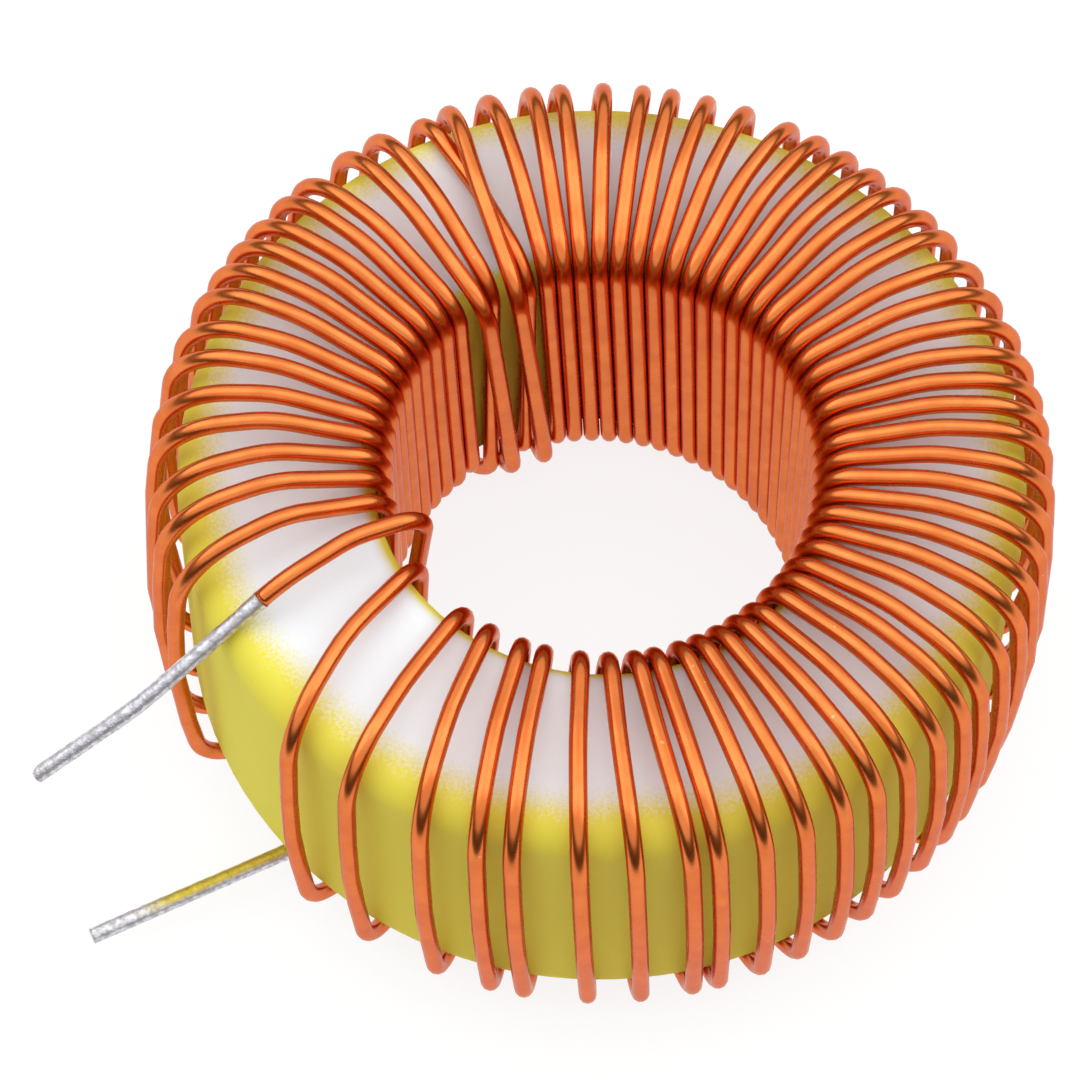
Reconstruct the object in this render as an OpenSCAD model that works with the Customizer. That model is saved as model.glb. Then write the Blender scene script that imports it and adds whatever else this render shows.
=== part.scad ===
// Toroidal inductor: one enamelled wire wound by hand through a coated iron-powder ring.
// The origin is the centre of the ring, at half its height, with the ring's axis along Z.
// The white face is up, and both ends of the wire leave at the front left (-X, -Y).

/* [Core] */
// Outer diameter of the ring
core_outer_d = 26.9; // [22.4:0.1:33]
// Inner diameter of the ring
core_inner_d = 14.5; // [14.5:0.1:17.5]
// Height of the ring
core_height = 11.1; // [8:0.1:14]
// Rounding of the ring's four edges, with its coat
edge_round = 1; // [0.4:0.05:1.2]

/* [Wire] */
// Diameter of the wire over its enamel
wire_d = 0.57; // [0.4:0.01:0.57]
// Diameter of the bare ends, with their solder
tinned_d = 0.52; // [0.3:0.01:0.6]
// Gap between the wire's side and the wall of the bore
bore_gap = 0.05; // [0.02:0.01:0.2]
// Gap between two turns that lie side by side in the bore
turn_gap = 0.01; // [0.01:0.001:0.012]

/* [Shape of a turn] */
// Height of a tight turn's middle above the top face, to the middle of the wire
arch_rise = 0.95; // [0.7:0.05:1.6]
// Height of a turn's inner corners above the top face, to the middle of the wire
corner_rise = 0.4; // [0.4:0.05:0.8]
// Height of a tight turn's outer corners above the top face, to the middle of the wire
rim_rise = 0.8; // [0.45:0.01:1]
// Distance of a turn's outer corners from the outer wall, to the middle of the wire
rim_reach = 0.45; // [0.4:0.01:1.2]
// How much further out a turn bows at half height
side_bow = 0.5; // [0.1:0.01:1]
// How much wider than the ring's rounded edge the wire bends into the bore
bore_bend_slack = 0.115; // [0.1:0.005:0.2]
// Gap between the wire and the ring's rounded edge, inside the outer bends
edge_gap = 0.06; // [0.02:0.01:0.1]
// Depth of the turns below the bottom face, to the middle of the wire
under_drop = 0.7; // [0.65:0.05:1.2]
// How much higher a loose turn stands than a tight one
slack_lift = 0.4; // [0:0.05:0.8]
// Degrees that a turn leans from the foot of its inner leg to the top
bore_lean = 5.5; // [0:0.5:6]
// Degrees that a turn leans down its outer leg
rim_lean = 2.5; // [0:0.5:4]

/* [Leads] */
// Direction of the lower lead, in degrees from +X
lower_lead_turn = 209; // [200:1:215]
// Length of the lower lead's tinned end
lower_lead_length = 7.4; // [5:0.1:15]
// How far past the outer wall the upper lead reaches
upper_lead_reach = 6.5; // [5:0.1:12]
// How far the upper lead drops below the top face
upper_lead_drop = 3.95; // [3:0.05:5]
// Diameter of the drop of solder where the enamel ends
solder_collar_d = 0.64; // [0.6:0.01:0.8]
// Length of that drop of solder
solder_collar_length = 0.9; // [0.3:0.1:1.5]

/* [Hidden] */
$fn = 24;

core_outer_r = core_outer_d / 2;
core_inner_r = core_inner_d / 2;
half_height = core_height / 2;
ring_width = core_outer_r - core_inner_r;
wire_r = wire_d / 2;

// Where the wire's middle runs
bore_r = core_inner_r - wire_r - bore_gap;
front_bore_r = bore_r - wire_d - bore_gap;
rim_r = core_outer_r + rim_reach;
arch_r = (bore_r + rim_r) / 2;
arch_span = (rim_r - bore_r) / 2;
under_drop_z = -half_height - under_drop;

// The bends into the bore follow the ring's rounded edge
bore_bend = edge_round + wire_r + bore_bend_slack;
side_bend = min(28, 0.45 * half_height ^ 2 / side_bow);

// One step between turns that lie side by side in the bore, in degrees. In a wider bore, or with a
// thinner wire, they keep their places and open up.
packed = max(4.8, 2 * asin((wire_d + turn_gap) / 2 / bore_r));

// Degrees round the ring at which each turn comes over the outer edge, in winding order.
// It is wound by hand, so the spacing is uneven: open at the front, close round the rest.
rim_at = [
    229, 238.5, 249, 256.5, 261, 269.5, 276.5, 283.5, 287, 293, 298.5, 304, 309, 314, 319.5,
    324.5, 328.5, 334, 339.5, 344.5, 349.5, 354.5, 359.5, 365, 369, 373, 377.5, 382.5, 388, 393,
    399, 403, 408, 412.5, 417, 421.5, 426, 432.5, 438, 443, 447, 452.5, 458.5, 462.5, 468.5,
    474, 478, 490, 485, 497, 501, 506, 510, 514.5, 519, 525, 530, 536.5, 542, 549, 555, 562.5
];

// Degrees at which each turn comes out of the bore, over the inner edge. The packed turns push on
// those after them when they need more room.
packed_from = 401;
pushed = 15 * packed - 72.1;
bore_at = [
    217.5, 235, 243, 252, 258, 267, 274, 280.5, 285.5, 292, 297, 302.5, 308, 313.5, 320,
    325.5, 330.5, 336, 341, 346, 351, 356, 361, 366, 371, 376, 381, 386, 391, 396, packed_from,
    for (step = [1:14]) packed_from + step * packed,
    for (angle = [
        478.5, 473.1, 489, 483.8, 495, 500, 505, 510, 515, 520, 525, 530, 535, 540, 545.5, 551.5, 558
    ]) angle + pushed
];
turns = len(rim_at);

// The turns that were wound out of order, in pairs. The first of each pair slants in the bore, one wire
// nearer the axis, and comes out past the second. The first pair cross back on the top face, and the
// second pair under the ring.
first_crossing = 45;
crossed_over = 46;
second_crossing = 47;
crossed_under = 48;

function slants(n) = n == first_crossing || n == second_crossing;

// Degrees of the foot of each inner leg. The crossing turns' feet keep to winding order, one step
// apart, from where the crossed one's would be.
crossing_step = 5.3;
function foot_at(n) =
    n == first_crossing ? bore_at[crossed_over] - bore_lean :
    n > first_crossing && n <= crossed_under ? foot_at(n - 1) + crossing_step :
    bore_at[n] - bore_lean;

// The first turns are tight, and the last ones the loosest
function slack(n) = slack_lift * lookup(n, [[6, 0], [14, 1], [44, 1], [54, 1.5], [61, 2]]);

// The crossed turn lies low on the top face, and the one over it stands clear of it
low_arch = corner_rise + 0.05;
over_the_low_arch = low_arch + wire_d + bore_gap + 0.28;
function arch_height(n) =
    n == crossed_over ? low_arch :
    n == first_crossing ? max(arch_rise + slack_lift, over_the_low_arch) :
    arch_rise + slack(n);

function rim_height(n) = n == crossed_over ? corner_rise : rim_rise + slack(n) / 2;

// Under the ring the wire of one turn crosses a wire's width below that of the next
deep_drop = under_drop + wire_d + turn_gap;
shallow_drop = under_drop - 0.3;
function rim_depth(n) = n == second_crossing ? deep_drop : under_drop;
function foot_depth(n) =
    n == crossed_under ? deep_drop :
    n == crossed_under + 1 ? shallow_drop :
    under_drop;

function leg_r(n) = slants(n) ? front_bore_r : bore_r;

// The higher the arch, the tighter its bend, so that it always leaves room for the corners
widest_arch_bend = 9;
function arch_bend(n) = min(widest_arch_bend, 0.33 * arch_span ^ 2 / (arch_height(n) - corner_rise));

// The widest outer bend that clears the ring's rounded edge, at a corner this far beyond its wall and its
// face. It leaves room for the rest of the arch.
widest_rim_bend = 0.8 * arch_span;
function rim_bend(reach, rise) =
    let (keep = wire_r + edge_gap, wall = reach - keep, face = rise - keep)
    min(edge_round + keep + wall + face + sqrt(2 * wall * face), widest_rim_bend);

function at(r, angle, z) = [r * cos(angle), r * sin(angle), z];

// A turn, from the foot of its inner leg: points with the bend radius at each
function turn(n) = [
    [at(leg_r(n), foot_at(n), -half_height - foot_depth(n)), bore_bend],
    [at(leg_r(n), bore_at[n], half_height + corner_rise), bore_bend],
    [at(arch_r, (bore_at[n] + rim_at[n]) / 2, half_height + arch_height(n)), arch_bend(n)],
    [at(rim_r, rim_at[n], half_height + rim_height(n)), rim_bend(rim_reach, rim_height(n))],
    [at(rim_r + side_bow + slack(n) / 4, rim_at[n] + rim_lean / 2, 0), side_bend],
    [at(rim_r, rim_at[n] + rim_lean, -half_height - rim_depth(n)), rim_bend(rim_reach, rim_depth(n))]
];

// The lower lead comes out level from under the ring, beside the first turn's outer leg
lower_out = [cos(lower_lead_turn), sin(lower_lead_turn), 0];
lower_joint = at(core_outer_r - 0.75, 223, under_drop_z + 0.05);
lower_corner = lower_joint - 0.9 * lower_out;

// The last leg stands free in the bore, loops over the inner edge and crosses the top face. From its
// shoulder the upper lead slopes down past the ring's rounded outer edge, just clear of it.
free_foot_at = foot_at(turns - 1) + 6.5;
loop_at = 570.5;
lead_slope = 31.5;
lead_gap = 0.08;
past_edge = edge_round + tinned_d / 2 + lead_gap;
edge_point_r = core_outer_r - edge_round + past_edge * sin(lead_slope);
edge_point_z = half_height - edge_round + past_edge * cos(lead_slope);
before_edge = min(2.34, 0.38 * ring_width);
beyond_edge = 3.87;
shoulder_r = edge_point_r - before_edge * cos(lead_slope);
shoulder_z = edge_point_z + before_edge * sin(lead_slope);
upper_shoulder = at(shoulder_r, loop_at, shoulder_z);
knee_r = edge_point_r + beyond_edge * cos(lead_slope);
knee_z = edge_point_z - beyond_edge * sin(lead_slope);
upper_knee = at(knee_r, 571.7, knee_z);
upper_end = at(core_outer_r + upper_lead_reach, 570.8, half_height - upper_lead_drop);
upper_loop = [
    [at(bore_r, free_foot_at, under_drop_z), bore_bend],
    [at(bore_r - 0.7, loop_at, half_height + 1.5), 1],
    [at(core_inner_r + min(1.4, 0.23 * ring_width), 568.4, half_height + 1.5), min(4, 0.65 * ring_width)],
    [upper_shoulder, 3]
];
enamel_past_shoulder = setback([each upper_loop, [upper_knee, 0]], 3) + 0.16;
upper_joint = towards(upper_shoulder, upper_knee, enamel_past_shoulder);

wire_route = [
    [lower_joint, 0],
    [lower_corner, 2],
    for (n = [0:turns - 1]) each turn(n),
    each upper_loop,
    [upper_joint, 0]
];

// Straight stretches are thinner than the bends by this much all round, and run into them a little,
// so that no two surfaces are tangent where they meet
skin = 0.004;
run_in = 0.05;

function unit(v) = v / norm(v);
function towards(a, b, distance) = a + unit(b - a) * distance;
function turning(a, b, c) = acos(min(1, max(-1, unit(b - a) * unit(c - b))));

// How far before and after point i the bend there starts and ends
function setback(route, i) =
    i == 0 || i == len(route) - 1 ? 0 :
    route[i][1] * tan(turning(route[i - 1][0], route[i][0], route[i + 1][0]) / 2);

module placed(origin, x_axis, y_axis) {
    z_axis = cross(x_axis, y_axis);
    multmatrix([
        [x_axis.x, y_axis.x, z_axis.x, origin.x],
        [x_axis.y, y_axis.y, z_axis.y, origin.y],
        [x_axis.z, y_axis.z, z_axis.z, origin.z],
        [0, 0, 0, 1]
    ]) children();
}

// Its children's Z axis runs from a to b
module along(a, b) {
    z_axis = unit(b - a);
    x_axis = unit(cross(z_axis, abs(z_axis.z) < 0.9 ? [0, 0, 1] : [1, 0, 0]));
    placed(a, x_axis, cross(z_axis, x_axis)) children();
}

module straight(a, b, diameter) {
    along(a, b) cylinder(d = diameter, h = norm(b - a));
}

module bend(route, i, diameter) {
    before = route[i - 1][0];
    corner = route[i][0];
    after = route[i + 1][0];
    radius = route[i][1];
    heading = unit(corner - before);
    leaving = unit(after - corner);
    inward = unit(leaving - heading * (leaving * heading));
    start = towards(corner, before, setback(route, i));
    placed(start + inward * radius, -inward, heading)
        rotate_extrude(angle = turning(before, corner, after))
            translate([radius, 0])
                circle(d = diameter);
}

// A round wire along a route, with a true arc at each of its points
module wire(route, diameter) {
    last = len(route) - 1;
    for (i = [0:last - 1]) {
        a = route[i][0];
        b = route[i + 1][0];
        from_a = i == 0 ? 0 : setback(route, i) - run_in;
        from_b = i + 1 == last ? 0 : setback(route, i + 1) - run_in;
        straight(towards(a, b, from_a), towards(b, a, from_b), diameter - 2 * skin);
    }
    for (i = [1:last - 1]) bend(route, i, diameter);
}

// A drop of solder that tapers down to the tinned wire
module solder_collar(a, b) {
    along(a, b) cylinder(d1 = solder_collar_d, d2 = tinned_d, h = solder_collar_length);
}

// The ring's section: a rectangle with its four corners rounded
module core_section() {
    flat = ring_width - 2 * edge_round;
    translate([core_inner_r + edge_round, -half_height]) square([flat, core_height]);
    translate([core_inner_r, edge_round - half_height]) square([ring_width, core_height - 2 * edge_round]);
    for (r = [core_inner_r + edge_round, core_outer_r - edge_round])
        for (z = [edge_round - half_height, half_height - edge_round])
            translate([r, z]) circle(r = edge_round);
}

module core() {
    color("khaki") rotate_extrude($fn = 96) core_section();
}

module winding() {
    color("chocolate") wire(wire_route, wire_d);
}

// Bent down a little past the ring, and snipped off at a slant
module upper_lead_tip() {
    snip = 3;
    color("silver")
        difference() {
            union() {
                wire([[upper_joint, 0], [upper_knee, 15], [upper_end, 0]], tinned_d);
                solder_collar(upper_joint, upper_knee);
            }
            along(upper_end, upper_knee)
                rotate([0, 50, 0])
                    translate([-snip / 2, -snip / 2, -snip])
                        cube(snip);
        }
}

module lower_lead_tip() {
    lower_end = lower_joint + lower_out * lower_lead_length;
    color("silver") {
        straight(lower_joint, lower_end, tinned_d);
        solder_collar(lower_joint, lower_end);
    }
}

core();
winding();
upper_lead_tip();
lower_lead_tip();
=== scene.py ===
"""A toroidal inductor: one enamelled copper wire, wound by hand through a powder-coated iron ring."""
import math

import bmesh
import bpy
from mathutils import Matrix, Vector, noise


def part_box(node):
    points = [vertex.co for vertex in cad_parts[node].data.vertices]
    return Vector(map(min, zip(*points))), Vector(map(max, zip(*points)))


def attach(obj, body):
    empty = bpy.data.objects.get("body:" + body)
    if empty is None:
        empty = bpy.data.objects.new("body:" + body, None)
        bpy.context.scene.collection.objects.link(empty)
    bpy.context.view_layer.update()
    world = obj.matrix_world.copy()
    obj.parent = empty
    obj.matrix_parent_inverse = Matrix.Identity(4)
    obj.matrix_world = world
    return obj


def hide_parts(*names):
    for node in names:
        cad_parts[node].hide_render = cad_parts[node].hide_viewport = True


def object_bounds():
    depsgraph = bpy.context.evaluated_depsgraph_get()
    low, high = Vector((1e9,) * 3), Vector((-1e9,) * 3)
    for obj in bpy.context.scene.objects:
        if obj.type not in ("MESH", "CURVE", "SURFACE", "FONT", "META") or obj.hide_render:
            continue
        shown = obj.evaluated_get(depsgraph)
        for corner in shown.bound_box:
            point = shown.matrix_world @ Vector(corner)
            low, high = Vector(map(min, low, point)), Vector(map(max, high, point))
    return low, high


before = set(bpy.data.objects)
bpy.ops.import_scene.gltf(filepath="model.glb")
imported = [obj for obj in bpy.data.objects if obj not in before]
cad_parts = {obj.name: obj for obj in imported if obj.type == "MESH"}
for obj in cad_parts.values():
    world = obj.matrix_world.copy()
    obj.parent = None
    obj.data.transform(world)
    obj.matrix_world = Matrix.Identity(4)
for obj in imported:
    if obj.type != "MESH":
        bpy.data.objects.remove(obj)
cad_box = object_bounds()

MM = 0.001
# Points of a mesh that lie closer than this, in metres, are merged
WELD = 1e-7

# The ring, in millimetres. Its bore and its edges are named here, as a box doesn't show them.
core_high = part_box("core")[1]
CORE_OUTER_R = core_high.x / MM
CORE_INNER_R = 7.25
HALF_HEIGHT = core_high.z / MM
EDGE_ROUND = 1

# The wire, in millimetres, over its enamel and over its solder
WIRE_R = 0.285
TINNED_R = 0.26
BORE_GAP = 0.05
TURN_GAP = 0.01

# Where the wire's middle runs: in the bore, in front of another leg there, and past the outer wall
BORE_R = CORE_INNER_R - WIRE_R - BORE_GAP
FRONT_BORE_R = BORE_R - 2 * WIRE_R - BORE_GAP
RIM_REACH = 0.45
RIM_R = CORE_OUTER_R + RIM_REACH
ARCH_R = (BORE_R + RIM_R) / 2
ARCH_SPAN = (RIM_R - BORE_R) / 2

# Heights and depths of a turn's points from the ring's faces, in millimetres
ARCH_RISE = 0.95
CORNER_RISE = 0.4
RIM_RISE = 0.8
UNDER_DROP = 0.7
DEEP_DROP = UNDER_DROP + 2 * WIRE_R + TURN_GAP
SHALLOW_DROP = UNDER_DROP - 0.3
SLACK_LIFT = 0.4
SIDE_BOW = 0.5
LOW_ARCH = CORNER_RISE + 0.05

# Bend radii in millimetres, small enough that each bend leaves room for the next one
BORE_BEND_SLACK = 0.115
BORE_BEND = EDGE_ROUND + WIRE_R + BORE_BEND_SLACK
WIDEST_RIM_BEND = 0.8 * ARCH_SPAN
EDGE_GAP = 0.06
SIDE_BEND = min(28, 0.45 * HALF_HEIGHT ** 2 / SIDE_BOW)
WIDEST_ARCH_BEND = 9

# How far a turn leans, in degrees, up its inner leg and down its outer one
BORE_LEAN = 5.5
RIM_LEAN = 2.5

# One step between turns that lie side by side in the bore, in degrees, and where they start
PACKED = 2 * math.degrees(math.asin((WIRE_R + TURN_GAP / 2) / BORE_R))
PACKED_FROM = 401

# Degrees round the ring at which each turn comes over the outer edge, in winding order. The ring is wound
# by hand, so the steps are uneven.
RIM_AT = [
    229, 238.5, 249, 256.5, 261, 269.5, 276.5, 283.5, 287, 293, 298.5, 304, 309, 314, 319.5,
    324.5, 328.5, 334, 339.5, 344.5, 349.5, 354.5, 359.5, 365, 369, 373, 377.5, 382.5, 388, 393,
    399, 403, 408, 412.5, 417, 421.5, 426, 432.5, 438, 443, 447, 452.5, 458.5, 462.5, 468.5,
    474, 478, 490, 485, 497, 501, 506, 510, 514.5, 519, 525, 530, 536.5, 542, 549, 555, 562.5,
]

# Degrees at which each turn comes out of the bore, over the inner edge
BORE_AT = [
    217.5, 235, 243, 252, 258, 267, 274, 280.5, 285.5, 292, 297, 302.5, 308, 313.5, 320,
    325.5, 330.5, 336, 341, 346, 351, 356, 361, 366, 371, 376, 381, 386, 391, 396, PACKED_FROM,
    *[PACKED_FROM + step * PACKED for step in range(1, 15)],
    478.5, 473.1, 489, 483.8, 495, 500, 505, 510, 515, 520, 525, 530, 535, 540, 545.5, 551.5, 558,
]

# The turns that were wound out of order, in pairs. The first of each pair slants in front of the second.
# The first pair cross back on the top face, and the second pair under the ring.
FIRST_CROSSING, CROSSED_OVER, SECOND_CROSSING, CROSSED_UNDER = 45, 46, 47, 48
# Degrees between the feet of their inner legs, which keep to winding order
CROSSING_STEP = 5.3

# The lower lead's direction, in degrees, and the length of its tinned end
LOWER_LEAD_TURN = 209
LOWER_LEAD_LENGTH = 7.4

# The upper lead's slope as it passes the ring's outer edge, its gap there, and how far before and beyond
# that edge it bends
LEAD_SLOPE = math.radians(31.5)
LEAD_GAP = 0.08
BEFORE_EDGE = 2.34
BEYOND_EDGE = 3.87
# Where its end lies, out from the outer wall and down from the top face
UPPER_LEAD_REACH = 6.5
UPPER_LEAD_DROP = 3.95
# Its loop over the inner edge: its direction, in degrees, and its height above the top face
LOOP_AT = 570.5
LOOP_RISE = 1.5
# Its bend at the shoulder, and how far past that bend the enamel ends
SHOULDER_BEND = 3
ENAMEL_PAST_BEND = 0.16

# The drop of solder where the enamel ends: its length, and how far it stands up
COLLAR_LENGTH = 0.9
COLLAR_RISE = 0.05


def foot_at(n):
    """Degrees of the foot of a turn's inner leg."""
    if n == FIRST_CROSSING:
        return BORE_AT[CROSSED_OVER] - BORE_LEAN
    if FIRST_CROSSING < n <= CROSSED_UNDER:
        return foot_at(n - 1) + CROSSING_STEP
    return BORE_AT[n] - BORE_LEAN


def slack(n):
    """How much higher a turn stands than the first, tight ones. The last are the loosest."""
    stages = [(6, 0), (14, 1), (44, 1), (54, 1.5), (61, 2)]
    if n <= stages[0][0]:
        return 0
    for (low, a), (high, b) in zip(stages, stages[1:]):
        if n <= high:
            return SLACK_LIFT * (a + (b - a) * (n - low) / (high - low))
    return SLACK_LIFT * stages[-1][1]


def at(radius, angle, height):
    """A point in millimetres, from its distance from the axis, its direction in degrees and its height."""
    turned = math.radians(angle)
    return Vector((radius * math.cos(turned), radius * math.sin(turned), height))


def rim_bend(reach, rise):
    """The widest outer bend that clears the ring's edge, at a corner so far beyond its wall and its face."""
    keep = WIRE_R + EDGE_GAP
    wall = reach - keep
    face = rise - keep
    return min(EDGE_ROUND + keep + wall + face + math.sqrt(2 * wall * face), WIDEST_RIM_BEND)


def turn(n):
    """A turn's points, from the foot of its inner leg, each with the bend radius there.

    On the top face the crossed turn lies low. Under the ring one wire runs deep, to pass below the next."""
    leg_r = FRONT_BORE_R if n in (FIRST_CROSSING, SECOND_CROSSING) else BORE_R
    arch = {CROSSED_OVER: LOW_ARCH, FIRST_CROSSING: ARCH_RISE + SLACK_LIFT}.get(n, ARCH_RISE + slack(n))
    rim = CORNER_RISE if n == CROSSED_OVER else RIM_RISE + slack(n) / 2
    foot_drop = {CROSSED_UNDER: DEEP_DROP, CROSSED_UNDER + 1: SHALLOW_DROP}.get(n, UNDER_DROP)
    rim_drop = DEEP_DROP if n == SECOND_CROSSING else UNDER_DROP
    arch_bend = min(WIDEST_ARCH_BEND, 0.33 * ARCH_SPAN ** 2 / (arch - CORNER_RISE))
    return [
        (at(leg_r, foot_at(n), -HALF_HEIGHT - foot_drop), BORE_BEND),
        (at(leg_r, BORE_AT[n], HALF_HEIGHT + CORNER_RISE), BORE_BEND),
        (at(ARCH_R, (BORE_AT[n] + RIM_AT[n]) / 2, HALF_HEIGHT + arch), arch_bend),
        (at(RIM_R, RIM_AT[n], HALF_HEIGHT + rim), rim_bend(RIM_REACH, rim)),
        (at(RIM_R + SIDE_BOW + slack(n) / 4, RIM_AT[n] + RIM_LEAN / 2, 0), SIDE_BEND),
        (at(RIM_R, RIM_AT[n] + RIM_LEAN, -HALF_HEIGHT - rim_drop), rim_bend(RIM_REACH, rim_drop)),
    ]


def rounded(route, step_mm=0.45, step_degrees=7):
    """Points close together along a route, with a true arc at each of its corners."""
    line = [route[0][0]]
    for (before, _), (corner, radius), (after, _) in zip(route, route[1:], route[2:]):
        incoming = (corner - before).normalized()
        outgoing = (after - corner).normalized()
        bent = incoming.angle(outgoing)
        inward = (outgoing - incoming * outgoing.dot(incoming)).normalized()
        start = corner - incoming * radius * math.tan(bent / 2)
        centre = start + inward * radius
        steps = max(2, math.ceil(math.degrees(bent) / step_degrees))
        add_straight(line, start, step_mm)
        for i in range(1, steps + 1):
            swept = bent * i / steps
            line.append(centre - inward * radius * math.cos(swept) + incoming * radius * math.sin(swept))
    add_straight(line, route[-1][0], step_mm)
    return line


def add_straight(line, end, step_mm):
    """Adds points along a straight stretch to its end."""
    start = line[-1]
    steps = max(1, math.ceil((end - start).length / step_mm))
    line.extend(start.lerp(end, i / steps) for i in range(1, steps + 1))


def drawn(name, line, radii, sides=12):
    """A round wire along a line of points, with a radius at each, in millimetres, as one closed mesh."""
    curve = bpy.data.curves.new(name, "CURVE")
    curve.dimensions = "3D"
    curve.bevel_depth = MM
    curve.bevel_resolution = (sides - 4) // 2
    curve.use_fill_caps = True
    curve.twist_mode = "MINIMUM"
    spline = curve.splines.new("POLY")
    spline.points.add(len(line) - 1)
    for point, place, radius in zip(spline.points, line, radii):
        point.co = (*(place * MM), 1)
        point.radius = radius
    source = bpy.data.objects.new(name, curve)
    mesh = bpy.data.meshes.new_from_object(source)
    bpy.data.objects.remove(source)
    bpy.data.curves.remove(curve)
    shape = bmesh.new()
    shape.from_mesh(mesh)
    bmesh.ops.remove_doubles(shape, verts=shape.verts, dist=WELD)
    bmesh.ops.recalc_face_normals(shape, faces=shape.faces)
    shape.to_mesh(mesh)
    shape.free()
    mesh.name = name
    mesh.shade_smooth()
    wire = bpy.data.objects.new(name, mesh)
    bpy.context.collection.objects.link(wire)
    return wire


# The lower lead leaves level from under the ring. It joins the enamelled wire 0.75 mm inside the outer
# wall, a little above the wires that run under the ring.
lower_out = at(1, LOWER_LEAD_TURN, 0)
lower_joint = at(CORE_OUTER_R - 0.75, 223, -HALF_HEIGHT - UNDER_DROP + 0.05)
lower_corner = lower_joint - lower_out * 0.9
lower_end = lower_joint + lower_out * LOWER_LEAD_LENGTH

# The upper lead slopes down past the ring's rounded outer edge, and this is its point nearest that edge
past_edge = EDGE_ROUND + TINNED_R + LEAD_GAP
edge_point_r = CORE_OUTER_R - EDGE_ROUND + past_edge * math.sin(LEAD_SLOPE)
edge_point_z = HALF_HEIGHT - EDGE_ROUND + past_edge * math.cos(LEAD_SLOPE)


def on_slope(along, angle):
    """A point on the sloping lead, so far past the one nearest the ring's outer edge."""
    radius = edge_point_r + along * math.cos(LEAD_SLOPE)
    return at(radius, angle, edge_point_z - along * math.sin(LEAD_SLOPE))


# The last leg stands free in the bore, loops over the inner edge and crosses the top face to a shoulder.
# From there the lead slopes down, with a slight knee on its way to its end.
upper_shoulder = on_slope(-BEFORE_EDGE, LOOP_AT)
upper_knee = on_slope(BEYOND_EDGE, 571.7)
upper_end = at(CORE_OUTER_R + UPPER_LEAD_REACH, 570.8, HALF_HEIGHT - UPPER_LEAD_DROP)
free_foot_at = foot_at(len(RIM_AT) - 1) + 6.5
upper_loop = [
    (at(BORE_R, free_foot_at, -HALF_HEIGHT - UNDER_DROP), BORE_BEND),
    (at(BORE_R - 0.7, LOOP_AT, HALF_HEIGHT + LOOP_RISE), 1),
    (at(CORE_INNER_R + 1.4, 568.4, HALF_HEIGHT + LOOP_RISE), 4),
    (upper_shoulder, SHOULDER_BEND),
]
down_lead = (upper_knee - upper_shoulder).normalized()
shoulder_turn = (upper_shoulder - upper_loop[2][0]).angle(upper_knee - upper_shoulder)
upper_joint = upper_shoulder + down_lead * (SHOULDER_BEND * math.tan(shoulder_turn / 2) + ENAMEL_PAST_BEND)


def make_winding():
    """The whole enamelled wire, from the lower lead's joint through every turn to the upper lead's joint."""
    route = [(lower_joint, 0), (lower_corner, 2)]
    for n in range(len(RIM_AT)):
        route += turn(n)
    route += upper_loop + [(upper_joint, 0)]
    line = rounded(route)
    return drawn("wound_wire", line, [WIRE_R] * len(line))


def tinned(name, route):
    """A bare wire end that was dipped in solder, so its coat runs a little thick and thin.

    It swells over about 0.4 mm and has lumps of about 0.14 mm, which stand up most by the enamel."""
    line = rounded(route, step_mm=0.12)
    radii = []
    for place in line:
        collar = max(0, 1 - (place - line[0]).length / COLLAR_LENGTH)
        swelling = 0.014 * noise.noise(place * 2.3)
        lump = 0.01 * (1 + collar) * noise.noise(place * 7)
        radii.append(TINNED_R + COLLAR_RISE * collar + swelling + lump)
    return drawn(name, line, radii, sides=20)


def snip(wire, end, inward, degrees):
    """Cuts a wire off at a slant, so that its lower side runs to a point."""
    across = inward.cross(Vector((0, 0, 1))).normalized()
    slant = math.radians(degrees)
    keep_side = across * math.sin(slant) + inward * math.cos(slant)
    shape = bmesh.new()
    shape.from_mesh(wire.data)
    whole = shape.verts[:] + shape.edges[:] + shape.faces[:]
    bmesh.ops.bisect_plane(
        shape, geom=whole, dist=WELD, plane_co=end * MM, plane_no=keep_side, clear_inner=True)
    rim = [edge for edge in shape.edges if edge.is_boundary]
    bmesh.ops.edgeloop_fill(shape, edges=rim)
    bmesh.ops.recalc_face_normals(shape, faces=shape.faces)
    sharpest_smooth = math.radians(40)
    for edge in shape.edges:
        edge.smooth = edge.calc_face_angle(0) < sharpest_smooth
    shape.to_mesh(wire.data)
    shape.free()
    return wire


# Colours and nodes

def linear(hex_colour):
    """A linear colour from its sRGB hex value."""
    shares = [int(hex_colour[i:i + 2], 16) / 255 for i in (1, 3, 5)]
    return [*(c / 12.92 if c <= 0.04045 else ((c + 0.055) / 1.055) ** 2.4 for c in shares), 1]


def add(material, kind, settings=None, inputs=None):
    """Adds a node. Settings are its properties; an input is a value, or an output socket to link."""
    node = material.node_tree.nodes.new(kind)
    for key, value in (settings or {}).items():
        setattr(node, key, value)
    for key, value in (inputs or {}).items():
        if isinstance(value, bpy.types.NodeSocket):
            material.node_tree.links.new(value, node.inputs[key])
        else:
            node.inputs[key].default_value = value
    return node


def noise_scale(size_mm):
    """The scale of a noise texture, from the size of its patches in millimetres."""
    return 1 / (size_mm * MM)


def new_material(name):
    """A material, and the shader that its constant values are set on."""
    material = bpy.data.materials.new(name)
    material.use_nodes = True
    shader = material.node_tree.nodes["Principled BSDF"]
    return material, shader


def link(material, output, target):
    """Joins an output socket to an input socket."""
    material.node_tree.links.new(output, target)


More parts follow.
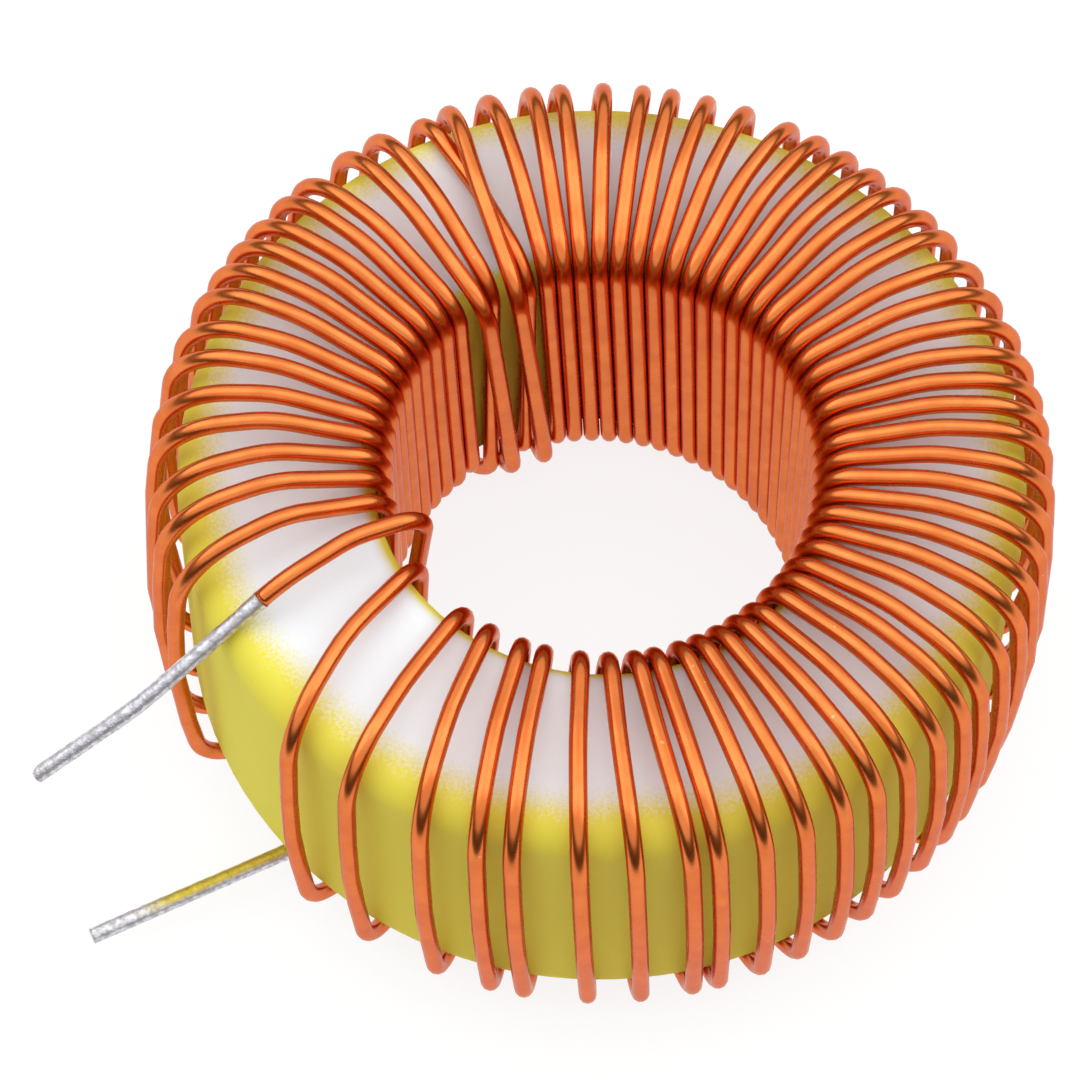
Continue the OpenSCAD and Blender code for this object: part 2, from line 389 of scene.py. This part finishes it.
def enamelled_copper():
    """Drawn copper under clear amber enamel: a warm metal shine with soft, pale highlights.

    The enamel runs a little thick and thin, and has a few small pale specks, which are partly nicks from the
    winding and partly painted glints."""
    material, shader = new_material("enamelled_copper")
    shader.inputs["Metallic"].default_value = 1
    shader.inputs["Specular Tint"].default_value = linear("#E0A070")
    shader.inputs["Coat Weight"].default_value = 0.5
    shader.inputs["Coat Roughness"].default_value = 0.2
    shader.inputs["Coat Tint"].default_value = linear("#FFF0E0")
    place = add(material, "ShaderNodeTexCoord").outputs["Object"]
    # The enamel runs thick and thin in patches of nearly 1 mm
    film = add(material, "ShaderNodeTexNoise",
               inputs={"Vector": place, "Scale": noise_scale(0.9091), "Detail": 2})
    thick = add(material, "ShaderNodeMapRange",
                inputs={"Value": film.outputs[0], "From Min": 0.3, "From Max": 0.7})
    copper = add(material, "ShaderNodeMix", {"data_type": "RGBA"},
                 {"Factor": thick.outputs[0], "A": linear("#EC8440"), "B": linear("#E0742E")})
    # A pale speck, partly a nick and partly a painted glint, is only the peak of a patch, so it is much
    # smaller than the patches' 0.28 mm
    spots = add(material, "ShaderNodeTexNoise",
                inputs={"Vector": place, "Scale": noise_scale(0.2778), "Detail": 0})
    nicks_and_glints = add(material, "ShaderNodeMapRange",
                inputs={"Value": spots.outputs[0], "From Min": 0.86, "From Max": 0.9})
    # The specks are painted pale: partly bare copper in nicks, partly painted glints
    colour = add(material, "ShaderNodeMix", {"data_type": "RGBA"},
                 {"Factor": nicks_and_glints.outputs[0], "A": copper.outputs["Result"], "B": linear("#F6A476")})
    link(material, colour.outputs["Result"], shader.inputs["Base Color"])
    sheen = add(material, "ShaderNodeMapRange", inputs={
        "Value": film.outputs[0], "From Min": 0.3, "From Max": 0.7, "To Min": 0.25, "To Max": 0.3})
    link(material, sheen.outputs[0], shader.inputs["Roughness"])
    bump = add(material, "ShaderNodeBump",
               inputs={"Height": film.outputs[0], "Strength": 0.06, "Distance": 0.03 * MM})
    link(material, bump.outputs[0], shader.inputs["Normal"])
    return material


def sprayed_coat():
    """Yellow powder coat, nearly matt. One face is dusted white, in specks that thin out at its edges."""
    material, shader = new_material("powder_coat")
    shader.inputs["Roughness"].default_value = 0.62
    shader.inputs["Specular IOR Level"].default_value = 0.15
    place = add(material, "ShaderNodeTexCoord").outputs["Object"]
    split = add(material, "ShaderNodeSeparateXYZ", inputs={0: place})
    # The spray fell 0.2 mm off the ring's centre, and its edge wanders in waves of about 4 mm
    off_centre = add(material, "ShaderNodeVectorMath", {"operation": "MULTIPLY_ADD"},
                     {0: place, 1: (1, 1, 0), 2: (0, -0.2 * MM, 0)})
    radius = add(material, "ShaderNodeVectorMath", {"operation": "LENGTH"}, {0: off_centre.outputs[0]})
    waves = add(material, "ShaderNodeTexNoise",
                inputs={"Vector": place, "Scale": noise_scale(3.846), "Detail": 1})
    # Sprayed droplets are too fine to show, so they are drawn as coarse as they need to be, at 0.11 mm
    specks = add(material, "ShaderNodeTexNoise", inputs={
        "Vector": place, "Scale": noise_scale(0.1111), "Detail": 3, "Roughness": 0.7})
    # Each noise lies round a half, so together they add about 1.35 mm to the distance from the axis
    wavy = add(material, "ShaderNodeMath", {"operation": "MULTIPLY_ADD"},
               {0: waves.outputs[0], 1: 0.9 * MM, 2: radius.outputs["Value"]})
    ragged = add(material, "ShaderNodeMath", {"operation": "MULTIPLY_ADD"},
                 {0: specks.outputs[0], 1: 1.8 * MM, 2: wavy.outputs[0]})
    outer = add(material, "ShaderNodeMapRange", {"interpolation_type": "SMOOTHSTEP"},
                {"Value": ragged.outputs[0], "From Min": 12.9 * MM, "From Max": 14.3 * MM,
                 "To Min": 1, "To Max": 0})
    inner = add(material, "ShaderNodeMapRange", {"interpolation_type": "SMOOTHSTEP"},
                {"Value": ragged.outputs[0], "From Min": 8.4 * MM, "From Max": 8.9 * MM})
    top = add(material, "ShaderNodeMapRange", {"interpolation_type": "SMOOTHSTEP"},
              {"Value": split.outputs["Z"], "From Min": 5.2 * MM, "From Max": 5.5 * MM})
    band = add(material, "ShaderNodeMath", {"operation": "MULTIPLY"},
               {0: outer.outputs[0], 1: inner.outputs[0]})
    dust = add(material, "ShaderNodeMath", {"operation": "MULTIPLY"},
               {0: band.outputs[0], 1: top.outputs[0]})
    colour = add(material, "ShaderNodeMix", {"data_type": "RGBA"},
                 {"Factor": dust.outputs[0], "A": linear("#EADF50"), "B": linear("#EEF6FA")})
    link(material, colour.outputs["Result"], shader.inputs["Base Color"])
    bump = add(material, "ShaderNodeBump",
               inputs={"Height": specks.outputs[0], "Strength": 0.12, "Distance": 0.1 * MM})
    link(material, bump.outputs[0], shader.inputs["Normal"])
    return material


def solder():
    """Tin-lead solder that set slowly: a pale metal with a frosty, mottled skin.

    The back of the lower lead, near the ring, has a painted yellow reflection of the ring."""
    material, shader = new_material("solder")
    shader.inputs["Metallic"].default_value = 1
    place = add(material, "ShaderNodeTexCoord").outputs["Object"]
    # The frost's crystals are too fine to show, so they are drawn as coarse as they need to be, at 0.14 mm
    crystals = add(material, "ShaderNodeTexNoise", inputs={
        "Vector": place, "Scale": noise_scale(0.1429), "Detail": 3, "Roughness": 0.6})
    # Bright and dull patches, about 0.2 mm across
    patches = add(material, "ShaderNodeTexNoise",
                  inputs={"Vector": place, "Scale": noise_scale(0.1923), "Detail": 2})
    mottled = add(material, "ShaderNodeMapRange",
                  inputs={"Value": patches.outputs[0], "From Min": 0.38, "From Max": 0.62})
    metal = add(material, "ShaderNodeMix", {"data_type": "RGBA"},
                {"Factor": mottled.outputs[0], "A": linear("#C4C0C6"), "B": linear("#E8E8F0")})
    # The painted reflection fades out between 4.4 and 6 mm along the lead, and round towards its front
    from_joint = add(material, "ShaderNodeVectorMath", {"operation": "DISTANCE"},
                     {0: place, 1: lower_joint * MM})
    near = add(material, "ShaderNodeMapRange", {"interpolation_type": "SMOOTHSTEP"},
               {"Value": from_joint.outputs["Value"], "From Min": 4.4 * MM, "From Max": 6 * MM,
                "To Min": 1, "To Max": 0})
    back = Vector((lower_out.y, -lower_out.x, 0))
    middle = lower_joint.dot(back)
    across = add(material, "ShaderNodeVectorMath", {"operation": "DOT_PRODUCT"}, {0: place, 1: back})
    behind = add(material, "ShaderNodeMapRange", {"interpolation_type": "SMOOTHSTEP"},
                 {"Value": across.outputs["Value"],
                  "From Min": (middle - 0.2) * MM, "From Max": (middle - 0.1) * MM})
    painted_ring_reflection = add(material, "ShaderNodeMath", {"operation": "MULTIPLY"},
                 {0: near.outputs[0], 1: behind.outputs[0]})
    # The yellow here is a painted reflection of the ring
    colour = add(material, "ShaderNodeMix", {"data_type": "RGBA"},
                 {"Factor": painted_ring_reflection.outputs[0], "A": metal.outputs["Result"], "B": linear("#CDBC52")})
    link(material, colour.outputs["Result"], shader.inputs["Base Color"])
    dull = add(material, "ShaderNodeMapRange", inputs={
        "Value": patches.outputs[0], "From Min": 0.3, "From Max": 0.7, "To Min": 0.5, "To Max": 0.34})
    link(material, dull.outputs[0], shader.inputs["Roughness"])
    bump = add(material, "ShaderNodeBump",
               inputs={"Height": crystals.outputs[0], "Strength": 0.5, "Distance": 0.05 * MM})
    link(material, bump.outputs[0], shader.inputs["Normal"])
    return material


# The pieces

def finish_piece(piece, node, material):
    """Gives a piece its material, hangs it under the root body, and hides the CAD node that it replaces."""
    piece.data.materials.clear()
    piece.data.materials.append(material)
    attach(piece, "root")
    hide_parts(node)


coat = sprayed_coat()
enamel = enamelled_copper()
tin = solder()
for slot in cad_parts["core"].material_slots:
    slot.material = coat
finish_piece(make_winding(), "winding", enamel)
upper_tip = tinned("upper_tinned_end", [(upper_joint, 0), (upper_knee, 15), (upper_end, 0)])
snip(upper_tip, upper_end, (upper_knee - upper_end).normalized(), 50)
finish_piece(upper_tip, "upper_lead_tip", tin)
finish_piece(tinned("lower_tinned_end", [(lower_joint, 0), (lower_end, 0)]),
             "lower_lead_tip", tin)


# The floor, the lights and the camera, in metres

def stage_sheet(name, width, height, material):
    """A flat sheet that isn't part of the object: the floor, or a card that the wire reflects."""
    shape = bmesh.new()
    full_size = Matrix.Diagonal((width, height, 1, 1))
    bmesh.ops.create_grid(shape, x_segments=1, y_segments=1, size=0.5, matrix=full_size)
    mesh = bpy.data.meshes.new(name)
    shape.to_mesh(mesh)
    shape.free()
    mesh.materials.append(material)
    sheet = bpy.data.objects.new(name, mesh)
    bpy.context.collection.objects.link(sheet)
    return sheet


def seen_directly(material):
    """1 for the camera's rays and for what metal reflects or glass lets through, and 0 for other light."""
    path = add(material, "ShaderNodeLightPath")
    seen = add(material, "ShaderNodeMath", {"operation": "MAXIMUM"},
               {0: path.outputs["Is Camera Ray"], 1: path.outputs["Is Glossy Ray"]})
    return add(material, "ShaderNodeMath", {"operation": "MAXIMUM"},
               {0: seen.outputs[0], 1: path.outputs["Is Transmission Ray"]}).outputs[0]


def white_paper():
    """Matt white paper. It keeps the object's soft shadow, and is an even white further out."""
    material, shader = new_material("white_paper")
    shader.inputs["Base Color"].default_value = linear("#F0F0F0")
    shader.inputs["Roughness"].default_value = 0.9
    white = add(material, "ShaderNodeEmission", inputs={"Strength": 1.08})
    place = add(material, "ShaderNodeTexCoord").outputs["Object"]
    from_axis = add(material, "ShaderNodeVectorMath", {"operation": "LENGTH"}, {0: place})
    # The even white makes up 0.78 of what is seen up to 30 mm from the axis, and all of it from 50 mm on
    even = add(material, "ShaderNodeMapRange", {"interpolation_type": "SMOOTHSTEP"},
               {"Value": from_axis.outputs["Value"], "From Min": 30 * MM, "From Max": 50 * MM,
                "To Min": 0.78})
    share = add(material, "ShaderNodeMath", {"operation": "MULTIPLY"},
                {0: seen_directly(material), 1: even.outputs[0]})
    mixed = add(material, "ShaderNodeMixShader",
                inputs={0: share.outputs[0], 1: shader.outputs[0], 2: white.outputs[0]})
    link(material, mixed.outputs[0], material.node_tree.nodes["Material Output"].inputs["Surface"])
    return material


def matt_card(name, colour):
    """Plain matt card."""
    material, shader = new_material(name)
    shader.inputs["Base Color"].default_value = linear(colour)
    shader.inputs["Roughness"].default_value = 0.9
    return material


def low_wall(radius, height, material):
    """A low, dull wall all round the table, hidden from the camera. The wire reflects it as dark bands."""
    shape = bmesh.new()
    middle = Matrix.Translation((0, 0, cad_box[0].z + height / 2))
    bmesh.ops.create_cone(shape, segments=48, radius1=radius, radius2=radius, depth=height, matrix=middle)
    mesh = bpy.data.meshes.new("low_wall")
    shape.to_mesh(mesh)
    shape.free()
    mesh.materials.append(material)
    wall = bpy.data.objects.new("low_wall", mesh)
    wall.visible_camera = False
    bpy.context.collection.objects.link(wall)


def softbox(name, place, size, watts):
    """A wide lamp with a cloth front, turned to the object."""
    lamp = bpy.data.lights.new(name, "AREA")
    lamp.shape = "RECTANGLE"
    lamp.size, lamp.size_y = size
    lamp.energy = watts
    holder = bpy.data.objects.new(name, lamp)
    holder.location = place
    holder.rotation_euler = (-Vector(place)).to_track_quat("-Z", "Y").to_euler()
    holder.visible_camera = False
    bpy.context.collection.objects.link(holder)


def studio_air():
    """Even white light from all round, as pale walls give."""
    world = bpy.data.worlds.new("studio")
    world.use_nodes = True
    bpy.context.scene.world = world
    background = world.node_tree.nodes["Background"]
    background.inputs["Color"].default_value = (1, 1, 1, 1)
    background.inputs["Strength"].default_value = 1


def camera():
    """A long lens that looks down from the front, shifted a little sideways."""
    elevation, distance, roll = math.radians(62), 0.1545, math.radians(3.05)
    back = Vector((0, -math.cos(elevation), math.sin(elevation)))
    level = (-back).to_track_quat("-Z", "Y")
    lens = bpy.data.cameras.new("camera")
    lens.lens = 158.3
    lens.sensor_width = 36
    lens.shift_x = -0.05463
    lens.clip_start = 0.01
    holder = bpy.data.objects.new("camera", lens)
    holder.rotation_mode = "QUATERNION"
    holder.location = back * distance
    holder.rotation_quaternion = level @ Matrix.Rotation(roll, 3, "Z").to_quaternion()
    bpy.context.collection.objects.link(holder)
    bpy.context.scene.camera = holder


# The floor lies just under the turns, so that no two surfaces share a height
floor = stage_sheet("paper_floor", 12, 12, white_paper())
floor.location.z = cad_box[0].z - 0.1 * MM
low_wall(0.4, 0.16, matt_card("grey_card", "#68605A"))

# The front bends of the turns reflect this card as their dark spots
card = stage_sheet("dark_card", 0.8, 0.308, matt_card("brown_card", "#1C0402"))
card.location = (0, -0.2, 0.0265)
card.rotation_euler = (math.radians(-12.6), 0, 0)
card.visible_camera = False
for name, side in (("left_softbox", -0.5), ("right_softbox", 0.5)):
    softbox(name, (side, 0.1, 0.6), (0.7, 1.2), 2.3)
studio_air()
camera()
bpy.context.scene.view_settings.view_transform = "Standard"
